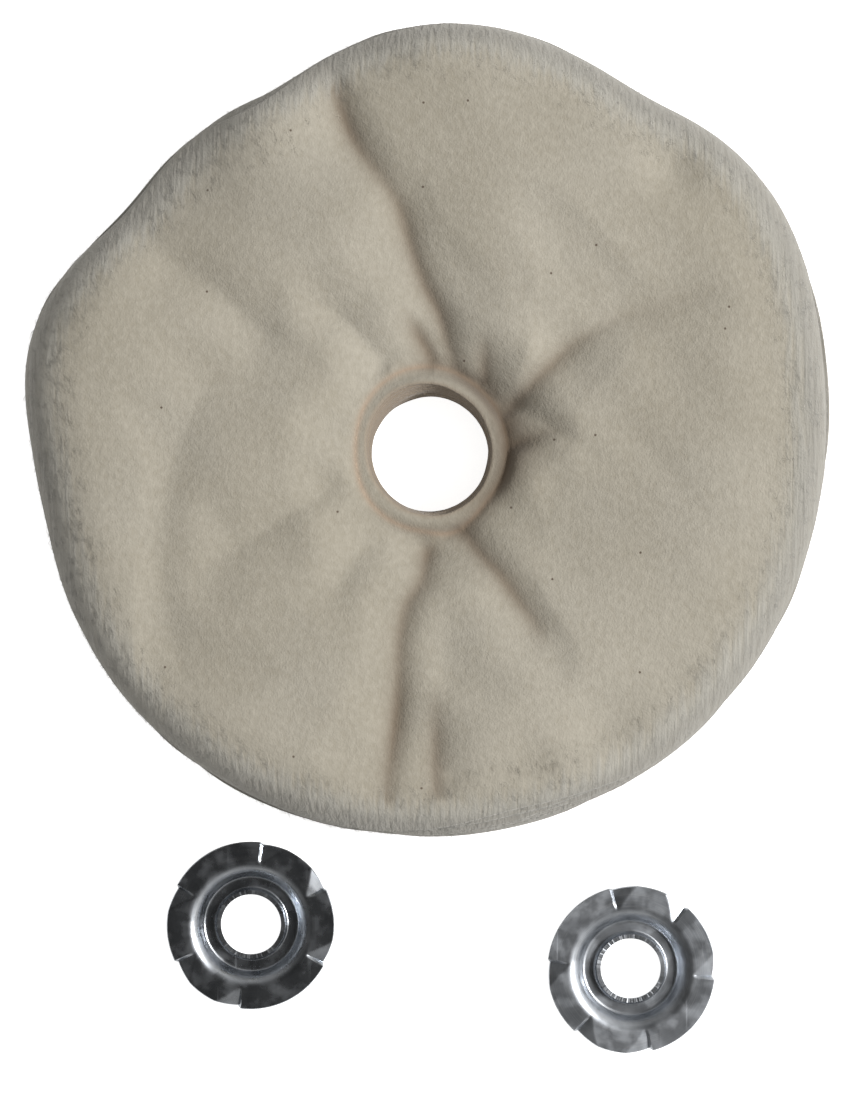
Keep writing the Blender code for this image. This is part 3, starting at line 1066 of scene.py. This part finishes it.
def nap_material():
    """Loose fibre ends: the cloth's cream where they start, frosty grey towards the edge."""
    s = Shading("nap_fibre")
    pale = s.attribute("pale")
    cream = s.mix(pale, colour(0.500, 0.468, 0.395), colour(0.600, 0.566, 0.490))
    frost = s.mix(pale, colour(0.396, 0.388, 0.364), colour(0.516, 0.506, 0.478))
    tone = s.mix(s.attribute("edge"), cream, frost)
    # hairs that lie on the cloth take most of their shading from the way the cloth faces
    cloth_normal = s.attribute("cloth_normal", "Vector")
    own_normal = s.add("ShaderNodeNewGeometry").outputs["Normal"]
    normal = s.add("ShaderNodeMix", {"data_type": "VECTOR"})
    normal.inputs[0].default_value = 0.9
    s.feed(normal.inputs[4], own_normal)
    s.feed(normal.inputs[5], cloth_normal)
    facing = s.add("ShaderNodeVectorMath", {"operation": "NORMALIZE"})
    s.feed(facing.inputs[0], normal.outputs[1])
    s.set(Base_Color=tone, Roughness=0.95, Specular_IOR_Level=0.1, Normal=facing.outputs[0])
    return s.material


def thread_material():
    """Two-ply sewing thread, slightly warmer than the cloth."""
    s = Shading("sewing_thread")
    tone = s.mix(s.noise(900.0, 2.0), colour(0.42, 0.32, 0.23), colour(0.52, 0.41, 0.31))
    twist = s.add("ShaderNodeTexWave", {"bands_direction": "DIAGONAL"}, Vector=s.place(), Scale=700.0)
    ply = s.bump(twist.outputs["Fac"], 0.5, 0.0001)
    s.set(Base_Color=tone, Roughness=0.8, Normal=ply, Sheen_Weight=0.2)
    return s.material


def steel_material(name, dull):
    """Bright zinc plate on stamped sheet: fine turned rings, soft patches and a few scratches."""
    s = Shading(name)
    clouds = s.ramp(s.noise(170.0, 4.0), 0.35, 0.70)
    tone = s.mix(clouds, colour(0.385, 0.410, 0.445), colour(0.615, 0.650, 0.700))
    turned = s.add("ShaderNodeMapping", Vector=s.attribute("brushed", "Vector"))
    turned.inputs["Scale"].default_value = (9.0, 1.6, 1.6)
    rings = s.add("ShaderNodeTexNoise", Vector=turned.outputs[0], Scale=1.0, Detail=5.0).outputs[0]
    tone = s.mix(s.times(s.ramp(rings, 0.45, 0.70), 0.30), tone, colour(0.78, 0.79, 0.80))
    scratch = s.ramp(s.noise(700.0, 2.0, stretch=(1.0, 0.05, 1.0), turn=0.9), 0.66, 0.74)
    patches = s.ramp(s.noise(230.0, 4.0), 0.40, 0.65)
    rough = s.math("ADD", dull, s.times(patches, 0.12))
    rough = s.math("ADD", rough, s.times(scratch, 0.10))
    dents = s.math("ADD", s.noise(120.0, 2.0), s.times(rings, 0.06))
    s.set(Base_Color=tone, Metallic=1.0, Roughness=rough, Normal=s.bump(dents, 0.35, 0.0003))
    return s.material


# ---- bench, light and camera ----


def make_bench():
    """A white table top, just under everything that lies on it."""
    side = 40.0
    corners = [(-side, -side, 0.0), (side, -side, 0.0), (side, side, 0.0), (-side, side, 0.0)]
    mesh = bpy.data.meshes.new("bench")
    mesh.from_pydata(corners, [], [(0, 1, 2, 3)])
    bench = bpy.data.objects.new("bench", mesh)
    bench.location.z = -0.2 * MM
    bpy.context.scene.collection.objects.link(bench)
    s = Shading("white_bench")
    s.set(Base_Color=colour(0.93, 0.93, 0.93), Roughness=0.9, Specular_IOR_Level=0.1)
    # a lit table top: bright to the camera, without throwing much light up at the object
    to_camera = s.add("ShaderNodeLightPath").outputs["Is Camera Ray"]
    glow = s.math("ADD", 0.15, s.times(to_camera, 0.65))
    s.set(Emission_Color=colour(1.0, 1.0, 1.0), Emission_Strength=glow)
    mesh.materials.append(s.material)


def add_light(name, place, aim, size, power, tint):
    light = bpy.data.lights.new(name, "AREA")
    light.shape = "DISK"
    light.size = size
    light.energy = power
    light.color = tint
    lamp = bpy.data.objects.new(name, light)
    lamp.location = place
    lamp.rotation_mode = "QUATERNION"
    lamp.rotation_quaternion = (Vector(aim) - Vector(place)).to_track_quat("-Z", "Y")
    bpy.context.scene.collection.objects.link(lamp)


def make_light():
    add_light("window", (1.26, 0.10, 1.11), (0.0, 0.0, 0.0), 0.47, 29.0, (1.0, 0.985, 0.965))
    world = bpy.data.worlds.new("room")
    bpy.context.scene.world = world
    room = Nodes(world)
    path = room.add("ShaderNodeLightPath")
    facing = room.add("ShaderNodeTexCoord").outputs["Generated"]
    way = room.add("ShaderNodeSeparateXYZ", Vector=facing)
    # cloth sees a fill that is stronger on the window's side
    fill = room.math("MULTIPLY_ADD", way.outputs["X"], 0.17, 0.50)
    # metal sees a room that is dark overhead and bright towards the walls
    walls = room.add("ShaderNodeValToRGB", Fac=way.outputs["Z"])
    stops = ((0.0, 0.55), (0.35, 0.90), (0.60, 0.50), (0.78, 0.20), (0.93, 0.06), (1.0, 0.04))
    while len(walls.color_ramp.elements) < len(stops):
        walls.color_ramp.elements.new(0.5)
    for element, (place, level) in zip(walls.color_ramp.elements, stops):
        element.position = place
        element.color = (level, level, level, 1.0)
    shine = room.math("MULTIPLY_ADD", way.outputs["X"], 0.50, 0.55)
    shine = room.times(shine, walls.outputs[0])
    # and the camera sees it pale, like the bench
    level = room.choose(path.outputs["Is Glossy Ray"], fill, shine)
    level = room.choose(path.outputs["Is Camera Ray"], level, 0.97)
    background = room.tree.nodes["Background"]
    background.inputs["Color"].default_value = (1.0, 0.985, 0.955, 1.0)
    room.feed(background.inputs["Strength"], level)


def make_camera():
    """Straight above the bench, with the wheel's bore a little above the middle of the picture."""
    height = 550.0
    view_height = 236.7
    middle_x = -0.48
    middle_y = -20.0
    camera = bpy.data.cameras.new("camera")
    camera.lens = camera.sensor_width * height / view_height
    camera.clip_start = 0.01
    camera_object = bpy.data.objects.new("camera", camera)
    camera_object.location = (BORE_X + middle_x * MM, BORE_Y + middle_y * MM, height * MM)
    bpy.context.scene.collection.objects.link(camera_object)
    bpy.context.scene.camera = camera_object


RISE = SettledRise()
FLANNEL = flannel_material()
make_plies(FLANNEL)
NAP = nap_material()
make_combed_nap(NAP)
make_edge_nap(NAP)
THREAD = thread_material()
make_stitches("needle_stitches", "needle_thread", True, THREAD)
make_stitches("bobbin_stitches", "bobbin_thread", False, THREAD)
make_flange("front_flange", 117.0, steel_material("bright_plated_steel", 0.23))
make_flange("back_flange", 139.0, steel_material("dull_plated_steel", 0.36))
make_bench()
make_light()
make_camera()
bpy.context.scene.view_settings.view_transform = "Standard"

bpy.context.view_layer.update()
